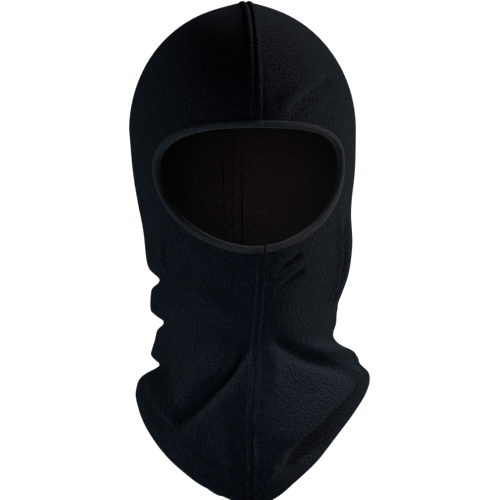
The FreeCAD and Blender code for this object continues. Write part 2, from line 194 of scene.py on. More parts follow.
def fold_relief(turn, point, fold):
    """How far one fold lifts the cloth, and how far it leans along the arc and up."""
    path, lift, right, left, lean = fold
    slim = np.sqrt(np.clip(1 - np.clip((point[..., 2] - BROW) / DOME, 0, 1) ** 2, 0.05, 1))
    place = np.stack([turn * ARC_PER_DEGREE * slim, point[..., 2]], axis=-1)
    line = np.array(path, float) * (ARC_PER_DEGREE, 1)
    lengths = np.linalg.norm(np.diff(line, axis=0), axis=1)
    passed = np.concatenate([[0], np.cumsum(lengths)])
    nearest = np.full(turn.shape, 1e9)
    share, side, ahead = np.zeros(turn.shape), np.ones(turn.shape), np.zeros(turn.shape + (2,))
    for start, end, length, before in zip(line, line[1:], lengths, passed):
        way = (end - start) / length
        s = np.clip((place - start) @ way, 0, length)
        away = place - start - s[..., None] * way
        distance = np.linalg.norm(away, axis=-1)
        closer = distance < nearest
        nearest = np.where(closer, distance, nearest)
        share = np.where(closer, (before + s) / passed[-1], share)
        side = np.where(closer, way[0] * away[..., 1] - way[1] * away[..., 0], side)
        ahead = np.where(closer[..., None], way, ahead)
    taper = np.sin(math.pi * np.clip(share, 0.004, 0.996)) ** 0.45
    height = lift * taper * np.where(side > 0, bell(nearest, left), bell(nearest, right))
    drag = lean * taper * bell(nearest, 0.5 * (left + right))
    return height, drag[..., None] * np.stack([-ahead[..., 1], ahead[..., 0]], axis=-1)


def ripple(turn, z):
    """Slow unevenness of cloth that nothing holds flat."""
    return (0.55 * np.sin(turn * 0.083 + z * 0.061 + 0.7) + 0.45 * np.sin(turn * 0.131 - z * 0.047 + 2.1)
            + 0.30 * np.sin(turn * 0.052 + z * 0.118 + 4.0))


def folded_form(turn, rise):
    """Points of the cloth's outer face with its seam shape, hem band and folds."""
    step = 1e-3
    point = plain_form(turn, rise)
    round_way = plain_form(turn + step * 50, rise) - plain_form(turn - step * 50, rise)
    up_way = plain_form(turn, rise + step) - plain_form(turn, rise - step)
    z = point[..., 2]
    from_seam = np.abs(point[..., 0])
    outward = np.stack([point[..., 0] / 0.72, point[..., 1], (z - BROW) * (z > BROW) * 1.05], axis=-1)
    outward /= np.linalg.norm(outward, axis=-1, keepdims=True) + 1e-9
    up_way /= np.linalg.norm(up_way, axis=-1, keepdims=True) + 1e-9
    round_way /= np.linalg.norm(round_way, axis=-1, keepdims=True) + 1e-9

    crest = np.interp(z, (-200, -95, -60, 0), (0.3, 0.6, 2.4, 3.8))
    relief = crest * np.exp(-from_seam / 9.0)
    sewn_in = np.interp(z, (-110, -60), (1.5, 0.45))
    relief += 0.6 * bell(from_seam - 2.9, 1.6) - sewn_in * bell(from_seam - SEAM_ROW, 0.95)

    slope = (hem_height(turn + 1) - hem_height(turn - 1)) / (2 * ARC_PER_DEGREE)
    above_hem = (z - hem_height(turn)) / np.sqrt(1 + slope ** 2)
    relief += 0.9 / (1 + np.exp((above_hem - HEM_BAND - 2) / 1.2)) - 1.0 * bell(above_hem - HEM_BAND, 1.6)

    quiet_back = 1 - bell(180 - np.abs(turn), 9.0)
    lean = np.zeros(point.shape[:-1] + (2,))
    folds = np.zeros(relief.shape)
    for fold in FOLDS:
        height, drag = fold_relief(turn, point, fold)
        folds += height
        lean += drag
    relief += folds * quiet_back * (0.3 + 0.7 * np.clip(above_hem / 11, 0, 1))
    relief += ripple(turn, z) * np.clip((-z - 60) / 120, 0.15, 1)
    moved = point + outward * relief[..., None]
    held = quiet_back * (0.15 + 0.85 * np.clip(above_hem / 20, 0, 1) ** 1.3)
    moved += (round_way * lean[..., :1] + up_way * lean[..., 1:]) * held[..., None]

    # The chin seam is pulled over to the wearer's left where the binding is joined.
    front = bell(from_seam, 33.0) * np.clip(0.5 - point[..., 1] / 80, 0, 1)
    moved[..., 0] += front * np.interp(z, (-300, -268, -231, -184, -150), (-1.0, 2.0, 5.5, 8.5, 2.0))
    moved[..., 0] += 1.0 * bell(z - 2, 25.0) * bell(from_seam, 22.0)
    return moved


def cloth_face(turn, rise, inset=0.0, drop=0.0, beside_seam=False):
    """Points at a depth under the cloth's outer face, in metres. Beside the seam the depth is
    measured in the seam's own plane."""
    turn, rise = np.asarray(turn, float), np.asarray(rise, float)
    point = folded_form(turn, rise)
    across = folded_form(turn + 0.25, rise) - folded_form(turn - 0.25, rise)
    upward = folded_form(turn, rise + 0.002) - folded_form(turn, rise - 0.002)
    normal = np.cross(across, upward)
    size = np.linalg.norm(normal, axis=-1, keepdims=True)
    plain = point - (0, 0, BROW * 0.4)
    plain /= np.linalg.norm(plain, axis=-1, keepdims=True)
    normal = np.where(size > 1e-6, normal / np.maximum(size, 1e-9), plain)
    normal[..., 0] = np.where(beside_seam, 0, normal[..., 0])
    normal /= np.linalg.norm(normal, axis=-1, keepdims=True)
    placed = point - normal * np.asarray(inset, float)[..., None]
    placed[..., 2] -= drop
    return placed * MM


def rise_above_hem(turn, distance):
    """The rise at a distance above the hem, measured square to it."""
    slope = (hem_height(turn + 1) - hem_height(turn - 1)) / (2 * ARC_PER_DEGREE)
    return -1 + distance * np.sqrt(1 + slope ** 2) / (BROW - hem_height(turn))


def opening_outline(angle, grow=0.0):
    """The face opening's edge seen from the front: x and z at an angle from the chin, in millimetres."""
    across, up = np.sin(angle), -np.cos(angle)
    power = np.where(up > 0, np.where(across > 0, 3.3, 2.6), 1.88)
    tall = np.where(up > 0, OPENING_TOP - OPENING_WIDEST, OPENING_WIDEST - OPENING_BOTTOM) + grow
    reach = (np.abs(across) ** power + np.abs(up) ** power) ** (-1 / power)
    return across * reach * (OPENING_HALF_WIDTH + grow), OPENING_WIDEST + up * reach * tall


def on_the_front(x, z):
    """Turn and rise of the point of the front wall that is seen at x and z."""
    turn = np.degrees(np.arcsin(np.clip(x / 86, -1, 1)))
    rise = -(z - BROW) / (hem_height(turn) - BROW)
    for _ in range(12):
        here = folded_form(turn, rise)
        gap = folded_form(turn + 0.5, rise) - here
        turn = turn + 0.5 * np.clip((x - here[..., 0]) / np.maximum(gap[..., 0], 0.05), -8, 8)
        rise = rise + (z - here[..., 2]) / (BROW - hem_height(turn))
    return turn, rise


# ---------------------------------------------------------------- materials

def new_material(name):
    material = bpy.data.materials.new(name)
    material.use_nodes = True
    tree = material.node_tree
    shader = tree.nodes["Principled BSDF"]
    return material, tree, shader


def new_group(name, inputs, outputs):
    """An empty node group with named sockets, and its input and output nodes."""
    group = bpy.data.node_groups.new(name, "ShaderNodeTree")
    for label, kind, default in inputs:
        socket = group.interface.new_socket(label, in_out="INPUT", socket_type=kind)
        socket.default_value = default
    for label, kind in outputs:
        group.interface.new_socket(label, in_out="OUTPUT", socket_type=kind)
    return group, group.nodes.new("NodeGroupInput"), group.nodes.new("NodeGroupOutput")


def noise(tree, vector, scale, detail, roughness=0.6):
    node = tree.nodes.new("ShaderNodeTexNoise")
    node.inputs["Scale"].default_value = scale
    node.inputs["Detail"].default_value = detail
    node.inputs["Roughness"].default_value = roughness
    tree.links.new(vector, node.inputs["Vector"])
    return node.outputs["Fac"]


def span(tree, value, low, high, to_low=0.0, to_high=1.0):
    node = tree.nodes.new("ShaderNodeMapRange")
    node.interpolation_type = "SMOOTHSTEP"
    for socket, number in zip(("From Min", "From Max", "To Min", "To Max"), (low, high, to_low, to_high)):
        node.inputs[socket].default_value = number
    tree.links.new(value, node.inputs["Value"])
    return node.outputs["Result"]


def arithmetic(tree, operation, first, second):
    node = tree.nodes.new("ShaderNodeMath")
    node.operation = operation
    for socket, value in zip(node.inputs, (first, second)):
        if isinstance(value, (int, float)):
            socket.default_value = value
        else:
            tree.links.new(value, socket)
    return node.outputs["Value"]


def blend_colours(tree, factor, first, second):
    node = tree.nodes.new("ShaderNodeMix")
    node.data_type = "RGBA"
    tree.links.new(factor, node.inputs["Factor"])
    for socket, colour in ((node.inputs[6], first), (node.inputs[7], second)):
        if isinstance(colour, bpy.types.NodeSocket):
            tree.links.new(colour, socket)
        else:
            socket.default_value = colour
    return node.outputs[2]


def pile_group():
    """Napped fleece: tufts that curl, painted shade in the hollows between them and slow drifts of darker
    and lighter tone.
    """
    group, given, made = new_group(
        "fleece_pile",
        (("Vector", "NodeSocketVector", (0, 0, 0)), ("Deep", "NodeSocketColor", (0, 0, 0, 1)),
         ("Tips", "NodeSocketColor", (0.02, 0.02, 0.02, 1)), ("Tuft Scale", "NodeSocketFloat", 520.0)),
        (("Colour", "NodeSocketColor"), ("Height", "NodeSocketFloat")))
    vector = given.outputs["Vector"]
    warp = group.nodes.new("ShaderNodeTexNoise")
    warp.inputs["Scale"].default_value = 260
    group.links.new(vector, warp.inputs["Vector"])
    bent = group.nodes.new("ShaderNodeMixRGB")
    bent.blend_type = "LINEAR_LIGHT"
    bent.inputs["Fac"].default_value = 0.0012
    group.links.new(vector, bent.inputs["Color1"])
    group.links.new(warp.outputs["Color"], bent.inputs["Color2"])
    tufts = group.nodes.new("ShaderNodeTexVoronoi")
    tufts.feature = "SMOOTH_F1"
    tufts.inputs["Smoothness"].default_value = 0.6
    group.links.new(bent.outputs["Color"], tufts.inputs["Vector"])
    group.links.new(given.outputs["Tuft Scale"], tufts.inputs["Scale"])
    fibre = noise(group, bent.outputs["Color"], 1100, 4, 0.7)
    clump = noise(group, vector, 380, 3, 0.6)
    drift = noise(group, vector, 26, 3, 0.55)
    tuft = span(group, tufts.outputs["Distance"], 0.0, 0.62, 1.0, 0.0)
    height = arithmetic(group, "ADD", arithmetic(group, "MULTIPLY", tuft, 0.9),
                        arithmetic(group, "MULTIPLY", fibre, 0.9))
    height = arithmetic(group, "ADD", height, arithmetic(group, "MULTIPLY", clump, 1.5))
    # Painted shade: the colour darkens where the tufts and clumps sit low in the relief; the drift below is
    # a random tone.
    shade = arithmetic(group, "MULTIPLY", span(group, clump, 0.32, 0.68),
                       span(group, tuft, 0.0, 1.0, 0.45, 1.0))
    shade = arithmetic(group, "MULTIPLY", shade, span(group, drift, 0.25, 0.75, 0.6, 1.0))
    colour = blend_colours(group, shade, given.outputs["Deep"], given.outputs["Tips"])
    group.links.new(colour, made.inputs["Colour"])
    group.links.new(height, made.inputs["Height"])
    return group


def knit_group():
    """Fine jersey: ribs of loops across the strip with painted shade between the loops, and a faint heather.
    """
    group, given, made = new_group(
        "jersey_knit",
        (("Vector", "NodeSocketVector", (0, 0, 0)), ("Deep", "NodeSocketColor", (0, 0, 0, 1)),
         ("Tips", "NodeSocketColor", (0.02, 0.02, 0.02, 1)), ("Loop Scale", "NodeSocketFloat", 1100.0)),
        (("Colour", "NodeSocketColor"), ("Height", "NodeSocketFloat")))
    vector = given.outputs["Vector"]
    loops = group.nodes.new("ShaderNodeTexVoronoi")
    loops.inputs["Randomness"].default_value = 0.35
    group.links.new(vector, loops.inputs["Vector"])
    group.links.new(given.outputs["Loop Scale"], loops.inputs["Scale"])
    loop = span(group, loops.outputs["Distance"], 0.05, 0.7, 1.0, 0.0)
    heather = noise(group, vector, 420, 3)
    height = arithmetic(group, "ADD", loop, arithmetic(group, "MULTIPLY", heather, 0.5))
    # Painted shade: the colour darkens between the loops, where the relief is low; the heather is a random
    # tone.
    shade = arithmetic(group, "MULTIPLY", span(group, loop, 0.0, 1.0, 0.55, 1.0),
                       span(group, heather, 0.25, 0.75, 0.5, 1.0))
    colour = blend_colours(group, shade, given.outputs["Deep"], given.outputs["Tips"])
    group.links.new(colour, made.inputs["Colour"])
    group.links.new(height, made.inputs["Height"])
    return group


def cloth_material(name, group, deep, tips, relief, sheen, sheen_roughness, sheen_tint, roughness=0.95):
    """A cloth finish: colours and relief from a group, and the fibre sheen on the shader itself."""
    material, tree, shader = new_material(name)
    place = tree.nodes.new("ShaderNodeTexCoord")
    surface = tree.nodes.new("ShaderNodeGroup")
    surface.node_tree = group
    surface.inputs["Deep"].default_value = (*deep, 1)
    surface.inputs["Tips"].default_value = (*tips, 1)
    tree.links.new(place.outputs["Object"], surface.inputs["Vector"])
    bump = tree.nodes.new("ShaderNodeBump")
    bump.inputs["Strength"].default_value = 1.0
    bump.inputs["Distance"].default_value = relief
    tree.links.new(surface.outputs["Height"], bump.inputs["Height"])
    tree.links.new(surface.outputs["Colour"], shader.inputs["Base Color"])
    tree.links.new(bump.outputs["Normal"], shader.inputs["Normal"])
    shader.inputs["Roughness"].default_value = roughness
    shader.inputs["Specular IOR Level"].default_value = 0.12
    shader.inputs["Sheen Weight"].default_value = sheen
    shader.inputs["Sheen Roughness"].default_value = sheen_roughness
    shader.inputs["Sheen Tint"].default_value = (*sheen_tint, 1)
    return material


FINISHES = {}


def mix_finishes():
    pile, knit = pile_group(), knit_group()
    look = bpy.context.scene.balaclava_look
    tint = (0.62, 0.80, 1.0)
    FINISHES["fleece"] = cloth_material(
        "fleece", pile, look.pile_deep, look.pile_tips, 0.0010, look.sheen, 0.42, tint)
    FINISHES["fleece_inside"] = cloth_material(
        "fleece_inside", pile, look.inside_deep, look.inside_tips,
        0.0007, 0.05, 0.5, (1, 0.9, 0.85))
    FINISHES["binding"] = cloth_material(
        "binding_jersey", knit, (0.015, 0.0175, 0.021), (0.042, 0.047, 0.054),
        0.0002, 0.22, 0.35, (0.9, 0.95, 1))
    FINISHES["thread"] = cloth_material(
        "thread", knit, (0.0015, 0.0020, 0.0030), (0.0060, 0.0075, 0.0100),
        0.0001, 0.04, 0.3, tint, 0.7)
    FINISHES["elastic"] = cloth_material(
        "elastic", knit, (0.010, 0.010, 0.011), (0.030, 0.030, 0.032),
        0.0002, 0.1, 0.4, (1, 1, 1), 0.7)
    FINISHES["label"] = cloth_material(
        "label_satin", knit, (0.42, 0.42, 0.40), (0.66, 0.66, 0.64),
        0.00008, 0.2, 0.3, (1, 1, 1), 0.5)


# ---------------------------------------------------------------- mesh helpers

def finish_piece(bm, name, finish, body, slot, *nodes):
    """Turns a bmesh into a smooth piece that rides on a body and stands for its CAD nodes."""
    mesh = bpy.data.meshes.new(name)
    bm.to_mesh(mesh)
    bm.free()
    mesh.shade_smooth()
    piece = bpy.data.objects.new(name, mesh)
    bpy.context.scene.collection.objects.link(piece)
    piece.data.materials.append(FINISHES[finish])
    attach(piece, body)
    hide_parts(*nodes)
    return piece


def place_all(bm, points):
    for vertex, point in zip(bm.verts, points):
        vertex.co = point


def parameters(bm):
    return np.array([vertex.co for vertex in bm.verts], float)


def tube_along(bm, path, outward, inward, profile):
    """A closed tube that carries a profile of (inward, outward) offsets along a path, with capped ends."""
    made = bmesh.ops.create_circle(bm, segments=len(profile), radius=1)
    ring = made["verts"]
    edges = [edge for edge in bm.edges if all(vertex in ring for vertex in edge.verts)]
    first_edges = edges
    for number, (centre, out, into) in enumerate(zip(path, outward, inward)):
        if number:
            grown = bmesh.ops.extrude_edge_only(bm, edges=edges)["geom"]
            new = [item for item in grown if isinstance(item, bmesh.types.BMVert)]
            edges = [item for item in grown if isinstance(item, bmesh.types.BMEdge)
                     and all(vertex in new for vertex in item.verts)]
            # Each new vertex sits on the old one it grew from, so the order is kept by nearest place.
            ring = [min(new, key=lambda vertex, old=old: (vertex.co - old.co).length_squared)
                    for old in ring]
        for vertex, (across, away) in zip(ring, profile):
            vertex.co = Vector(centre) + Vector(into) * across + Vector(out) * away
    bmesh.ops.contextual_create(bm, geom=first_edges)
    bmesh.ops.contextual_create(bm, geom=edges)
    bmesh.ops.recalc_face_normals(bm, faces=bm.faces[:])


# How far a stitch may point out of the cloth, as a cosine, and the room it keeps to the next.
SWALLOWED = 0.45
STITCH_PITCH = 1.18


def sewn(rows, length, width):
    """A bmesh of separate stitches, each a small padded bar, along rows of (path, way out of the cloth).
    Stitches that dive into a crease are left out."""
    middles, ways, normals = [], [], []
    for path, outward in rows:
        travelled = np.concatenate([[0], np.cumsum(np.linalg.norm(np.diff(path, axis=0), axis=1))])
        count = max(1, int(travelled[-1] / (length * STITCH_PITCH)))
        starts = (np.arange(count) + 0.08) * travelled[-1] / count

        def read(values, at):
            return np.stack([np.interp(at, travelled, values[:, axis]) for axis in range(3)], axis=1)

        first, last = read(path, starts), read(path, starts + length)
        middles.append((first + last) / 2)
        ways.append(last - first)
        normals.append(read(outward, starts))
    middles, ways, normals = (np.concatenate(part) for part in (middles, ways, normals))
    ways /= np.linalg.norm(ways, axis=1, keepdims=True)
    normals /= np.linalg.norm(normals, axis=1, keepdims=True)
    shown = np.abs(np.sum(ways * normals, axis=1)) < SWALLOWED
    middles, ways, normals = middles[shown], ways[shown], normals[shown]
    sideways = np.cross(normals, ways)
    sideways /= np.linalg.norm(sideways, axis=1, keepdims=True)
    normals = np.cross(ways, sideways)

    # One bar is doubled until there are enough, each copy standing a step above the last.
    bm = bmesh.new()
    bmesh.ops.create_uvsphere(bm, u_segments=6, v_segments=4, radius=1)
    made, step = 1, 10.0
    while made < len(middles):
        copied = bmesh.ops.duplicate(bm, geom=bm.verts[:] + bm.edges[:] + bm.faces[:])["geom"]
        copies = [item for item in copied if isinstance(item, bmesh.types.BMVert)]
        bmesh.ops.translate(bm, verts=copies, vec=(0, 0, step * made))
        made *= 2
    spare = [vertex for vertex in bm.verts if vertex.co.z > step * (len(middles) - 0.5)]
    bmesh.ops.delete(bm, geom=spare, context="VERTS")
    unit = parameters(bm)
    number = np.round(unit[:, 2] / step).astype(int)
    unit[:, 2] -= number * step
    place_all(bm, middles[number] + unit[:, :1] * ways[number] * length / 2
              + unit[:, 1:2] * sideways[number] * width / 2 + unit[:, 2:] * normals[number] * width * 0.36)
    return bm


def path_on_cloth(turn, rise, lift):
    """Points of a row on the cloth's face, and the way out of the cloth at each."""
    low, high = cloth_face(turn, rise, -lift), cloth_face(turn, rise, -lift - 1.0)
    return low, (high - low) / MM


# ---------------------------------------------------------------- panels

FRONT_COLUMNS = (1.15, 1.55, 2.3, 3.2, 4.2, 5.0, 5.8, 6.8, 8.2, 10.0)
QUARTER_ARC = 69.0
SIDE_COLUMNS = 62
COLUMN_STEP = 2.15
DOME_ROWS = 28
BODY_ROWS = 128
HEM_ROWS = ((1.9, 0.8), (2.6, 1.15), (3.4, 0.8))
TURN_UP_ROWS = 9
SEAM_EDGE = ((1.1, 1.9), (1.1, 2.7), (1.5, 3.4), (2.6, 3.95), (4.2, 4.05), (ALLOWANCE, 4.05))
ALLOWANCE_ENDS = 0.9
STRAY = 1.9 * MM
OPENING_SIDES = 96


def seam_columns():
    rest = np.arange(FRONT_COLUMNS[-1] + COLUMN_STEP, QUARTER_ARC - 1, COLUMN_STEP)
    return np.concatenate([FRONT_COLUMNS, rest, [QUARTER_ARC]])


def panel_places(param):
    """Turn, rise, inset and drop for a panel's parameters: distance from the seam, place along the
    crown and row. Rows count down from the crown; columns left of the seam's edge are the allowance."""
    columns = seam_columns()
    seam, crown, row = param.T
    edge = np.array(SEAM_EDGE)
    inset = np.full(len(param), CLOTH / 2)
    folded = seam < -0.5
    place = np.clip((-seam - 1).round().astype(int), 0, len(edge) - 1)
    inset = np.where(folded, edge[place, 1], inset)
    distance = np.where(folded, edge[place, 0], np.interp(seam, np.arange(len(columns)), columns))
    # The cloth's edge rounds over into the seam, and the turned-up hem's edges butt there.
    inset = inset + np.where(folded, 0, 0.9 * bell(distance - 1.15, 0.8))
    butted = (row > DOME_ROWS + BODY_ROWS * ALLOWANCE_ENDS - 0.5) & (seam > -0.5) & (seam < 0.5)
    distance = np.where(butted, 0.02, distance)

    across = np.tan(distance / QUARTER_ARC * math.pi / 4)
    forward = np.tan(crown * math.pi / 4)
    turn = np.degrees(np.arctan2(across, -forward))
    start = np.arctan(1 / np.hypot(across, forward)) / (math.pi / 2)
    dome = row <= DOME_ROWS
    rise = np.where(dome, start * (1 - row / DOME_ROWS), -(row - DOME_ROWS) / BODY_ROWS)
    rise = np.maximum(rise, -1)
    drop = np.zeros(len(param))
    for number, (deep, down) in enumerate(HEM_ROWS, 1):
        here = np.isclose(row, DOME_ROWS + BODY_ROWS + number)
        inset, drop = np.where(here, inset - CLOTH / 2 + deep, inset), np.where(here, down, drop)
    turn_up = row - (DOME_ROWS + BODY_ROWS + len(HEM_ROWS))
    inside = turn_up > 0.5
    rise = np.where(inside, rise_above_hem(turn, HEM_TURN_UP * (turn_up - 0.6) / TURN_UP_ROWS), rise)
    inset = np.where(inside, inset - CLOTH / 2 + 4.0, inset)
    return turn, rise, inset, drop, folded


def extruded(bm, edges, change):
    """Extrudes edges once, changes the new vertices and returns the new outer edges."""
    grown = bmesh.ops.extrude_edge_only(bm, edges=edges)["geom"]
    new = {item for item in grown if isinstance(item, bmesh.types.BMVert)}
    for vertex in new:
        change(vertex)
    return [item for item in grown if isinstance(item, bmesh.types.BMEdge) and set(item.verts) <= new]


def settle(bm, rounds=4):
    """Draws the points that a sharp crease throws off their neighbours back among them."""
    inner = [vertex for vertex in bm.verts if not vertex.is_boundary and len(vertex.link_edges) == 4]
    for _ in range(rounds):
        stray = []
        for vertex in inner:
            middle = sum((edge.other_vert(vertex).co for edge in vertex.link_edges), Vector()) / 4
            if (middle - vertex.co).length > STRAY:
                stray.append(vertex)
        bmesh.ops.smooth_vert(
            bm, verts=stray, factor=0.5, use_axis_x=True, use_axis_y=True, use_axis_z=True)


def panel_sheet(side):
    """One panel as a bmesh sheet along the middle of the cloth."""
    columns = len(seam_columns()) - 1
    bm = bmesh.new()
    bmesh.ops.create_grid(bm, x_segments=columns, y_segments=SIDE_COLUMNS, size=1)
    for vertex in bm.verts:
        vertex.co = ((vertex.co.x + 1) / 2 * columns, vertex.co.y, 0)

    rim = [edge for edge in bm.edges if edge.is_boundary and sum(v.co.x < 0.5 for v in edge.verts) < 2]

    def next_row(vertex):
        vertex.co.z += 1

    for _ in range(DOME_ROWS + BODY_ROWS + len(HEM_ROWS) + TURN_UP_ROWS):
        rim = extruded(bm, rim, next_row)

    last_row = DOME_ROWS + BODY_ROWS * ALLOWANCE_ENDS
    seam = [edge for edge in bm.edges
            if edge.is_boundary and all(v.co.x < 0.5 and v.co.z < last_row for v in edge.verts)]

    def next_column(vertex):
        vertex.co.x = -1 if vertex.co.x > -0.5 else vertex.co.x - 1

    for _ in SEAM_EDGE:
        seam = extruded(bm, seam, next_column)

    turn, rise, inset, drop, folded = panel_places(parameters(bm))
    for face in bm.faces:
        face.material_index = int(min(vertex.co.x for vertex in face.verts) < -3.5)
    place_all(bm, cloth_face(turn * side, rise, inset, drop, folded))
    settle(bm)
    bmesh.ops.recalc_face_normals(bm, faces=bm.faces[:])
    highest = max(bm.faces, key=lambda face: face.calc_center_median().z)
    if highest.normal.z < 0:
        bmesh.ops.reverse_faces(bm, faces=bm.faces[:])
    return bm


def cut_opening(bm):
    """Cuts the face opening through the front wall, one straight plane at a time."""
    angles = np.linspace(0, 2 * math.pi, OPENING_SIDES + 1)
    x, z = opening_outline(angles, grow=0.8)
    inside = [face for face in bm.faces
              if face.calc_center_median().y < -0.02
              and abs(face.calc_center_median().x) < (OPENING_HALF_WIDTH + 8) * MM
              and (OPENING_BOTTOM - 8) * MM < face.calc_center_median().z < (OPENING_TOP + 8) * MM]
    for start in range(OPENING_SIDES):
        here = Vector((x[start], 0, z[start])) * MM
        ahead = Vector((x[start + 1], 0, z[start + 1])) * MM - here
        away = Vector((ahead.z, 0, -ahead.x)).normalized()
        geometry = list({item for face in inside for item in (*face.verts, *face.edges)}) + inside
        made = bmesh.ops.bisect_plane(bm, geom=geometry, plane_co=here, plane_no=away, dist=1e-6)["geom"]
        inside = [item for item in made if isinstance(item, bmesh.types.BMFace)
                  and (item.calc_center_median() - here).dot(away) < 0]
    bmesh.ops.delete(bm, geom=inside, context="FACES")
    bmesh.ops.remove_doubles(bm, verts=[v for v in bm.verts if v.is_boundary], dist=0.25 * MM)


def solid_cloth(piece, thickness, inside=None):
    wall = piece.modifiers.new("cloth", "SOLIDIFY")
    wall.thickness = thickness
    wall.offset = 0
    wall.use_even_offset = False
    if inside:
        piece.data.materials.append(FINISHES[inside])
        wall.material_offset = 1


class BALACLAVA_OT_panels(bpy.types.Operator):
    """Makes the two fleece panels, each one sheet with its seam allowance and hem folded in"""
    bl_idname = "balaclava.panels"
    bl_label = "Fleece Panels"

    def execute(self, context):
        for name, side in SIDES.items():
            bm = panel_sheet(side)
            cut_opening(bm)
            piece = finish_piece(
                bm, f"{name}_panel_cloth", "fleece", "hood", "fleece", f"{name}_panel")
            solid_cloth(piece, CLOTH * MM, inside="fleece_inside")
        return {"FINISHED"}


# ---------------------------------------------------------------- face opening

BINDING_PROFILE = (
    (4.7, -0.25), (4.5, 0.75), (3.7, 1.35), (2.3, 1.6), (0.9, 1.4), (-0.2, 0.6), (-0.6, -0.5), (-0.6, -1.9),
    (-0.3, -3.0), (0.7, -3.7), (2.3, -3.9), (3.9, -3.6), (4.7, -2.9), (4.0, -2.3), (2.0, -1.3), (4.0, -0.5))
BINDING_STATIONS = 260
JOIN_ANGLE = math.radians(7)


def opening_run(count, start, end):
    """Points, outward ways and ways into the cloth along the opening's edge."""
    angle = np.linspace(JOIN_ANGLE + start, JOIN_ANGLE + end, count)
    x, z = opening_outline(angle)
    turn, rise = on_the_front(x, z)
    path, outward = path_on_cloth(turn, rise, 0.0)
    ahead = np.gradient(path, axis=0)
    inward = np.cross(outward, ahead)
    inward /= np.linalg.norm(inward, axis=1, keepdims=True)
    centre = np.array([0, 0, (OPENING_WIDEST - 10) * MM])
    towards = centre - path
    towards[:, 1] = 0
    inward *= -np.sign(np.sum(inward * towards, axis=1, keepdims=True))
    return path, outward, inward


class BALACLAVA_OT_opening(bpy.types.Operator):
    """Binds the face opening with a folded jersey strip over a flat elastic"""
    bl_idname = "balaclava.opening"
    bl_label = "Face Opening"

    def execute(self, context):
        path, outward, inward = opening_run(BINDING_STATIONS, 0.012, 2 * math.pi - 0.012)
        bm = bmesh.new()
        tube_along(bm, path, outward, inward, [(a * MM, b * MM) for a, b in BINDING_PROFILE])
        binding = finish_piece(bm, "face_binding_strip", "binding", "hood", "binding_jersey", "face_binding")

        path, outward, inward = opening_run(200, 0.02, 2 * math.pi - 0.02)
        bm = bmesh.new()
        flat_elastic = [(-0.2, -0.8), (0.25, -0.6), (0.25, -2.2), (-0.2, -2.0)]
        tube_along(bm, path, outward, inward, [(a * MM, b * MM) for a, b in flat_elastic])
        finish_piece(bm, "face_elastic_band", "elastic", "hood", "elastic", "face_elastic")

        path, outward, inward = opening_run(400, 0.03, 2 * math.pi - 0.03)
        bm = sewn([(path + inward * 3.9 * MM + outward * 1.35 * MM, outward)], 2.4 * MM, 0.45 * MM)
        finish_piece(bm, "binding_topstitch_thread", "thread", "hood", "thread", "binding_topstitch")

        path, outward, inward = opening_run(24, -0.11, -0.02)
        rows = [(path + inward * offset * MM + outward * 1.55 * MM, outward) for offset in (1.6, 3.4)]
        bm = sewn(rows, 2.2 * MM, 0.5 * MM)
        finish_piece(bm, "binding_bartack_thread", "thread", "hood", "thread", "binding_bartack")
        return {"FINISHED"}


# ---------------------------------------------------------------- stitching

SEAM_END = -0.985
CROWN_HALF_WIDTH = 84


def seam_path(run, offset, lift):
    """A row beside the centre seam: over the crown and down the back, or down the throat."""
    if run == "throat":
        rise = np.linspace((OPENING_BOTTOM - 6 - BROW) / (BROW - HEM_TIP), SEAM_END, 160)
        turn = np.degrees(np.arcsin(offset / np.abs(plain_form(np.full(len(rise), 90.0), rise)[:, 0])))
        return path_on_cloth(turn, rise, lift)
    # Over the crown the row lies in a plane beside the seam's own.
    over = np.linspace(0.10, math.pi, 160)
    beside = offset / CROWN_HALF_WIDTH
    ring = math.sqrt(1 - beside ** 2)
    dome_turn = np.degrees(np.arctan2(beside, ring * np.cos(over)))
    dome_rise = np.arcsin(ring * np.sin(over)) / (math.pi / 2)
    back_rise = np.linspace(-0.01, SEAM_END, 220)
    back_turn = math.copysign(180, offset) - np.degrees(
        np.arcsin(offset / np.abs(plain_form(np.full(len(back_rise), 90.0), back_rise)[:, 0])))
    turn = np.concatenate([dome_turn, back_turn])
    return path_on_cloth(turn, np.concatenate([dome_rise, back_rise]), lift)


class BALACLAVA_OT_stitching(bpy.types.Operator):
    """Sews the rows beside the centre seam, the chain inside it and the rows of the hem"""
    bl_idname = "balaclava.stitching"
    bl_label = "Seam and Hem Stitching"

    def execute(self, context):
        length = context.scene.balaclava_look.stitch_length
        for run in ("crown", "throat"):
            for name, side in SIDES.items():
                bm = sewn([seam_path(run, side * SEAM_ROW, -0.3)], length, 0.55 * MM)
                node = f"{run}_topstitch_{name}"
                finish_piece(bm, f"{node}_thread", "thread", "hood", "thread", node)
            bm = sewn([seam_path(run, 0.05, -2 * CLOTH - 0.6)], length, 0.7 * MM)
            finish_piece(bm, f"{run}_seam_chain", "thread", "hood", "thread", f"{run}_seam_thread")

        turn = np.linspace(-179, 179, 900)
        for level, height in (("low", HEM_BAND - 2), ("high", HEM_BAND + 2)):
            bm = sewn([path_on_cloth(turn, rise_above_hem(turn, height), -0.1)], length, 0.55 * MM)
            node = f"hem_topstitch_{level}"
            finish_piece(bm, f"{node}_thread", "thread", "hood", "thread", node)
        rows = [path_on_cloth(turn, rise_above_hem(turn, height), -2 * CLOTH - 0.35)
                for height in np.linspace(HEM_BAND - 2, HEM_BAND + 3, 3)]
        bm = sewn(rows, length, 0.5 * MM)
        finish_piece(bm, "hem_cover_looper", "thread", "hood", "thread", "hem_cover_thread")
        return {"FINISHED"}


# ---------------------------------------------------------------- care label

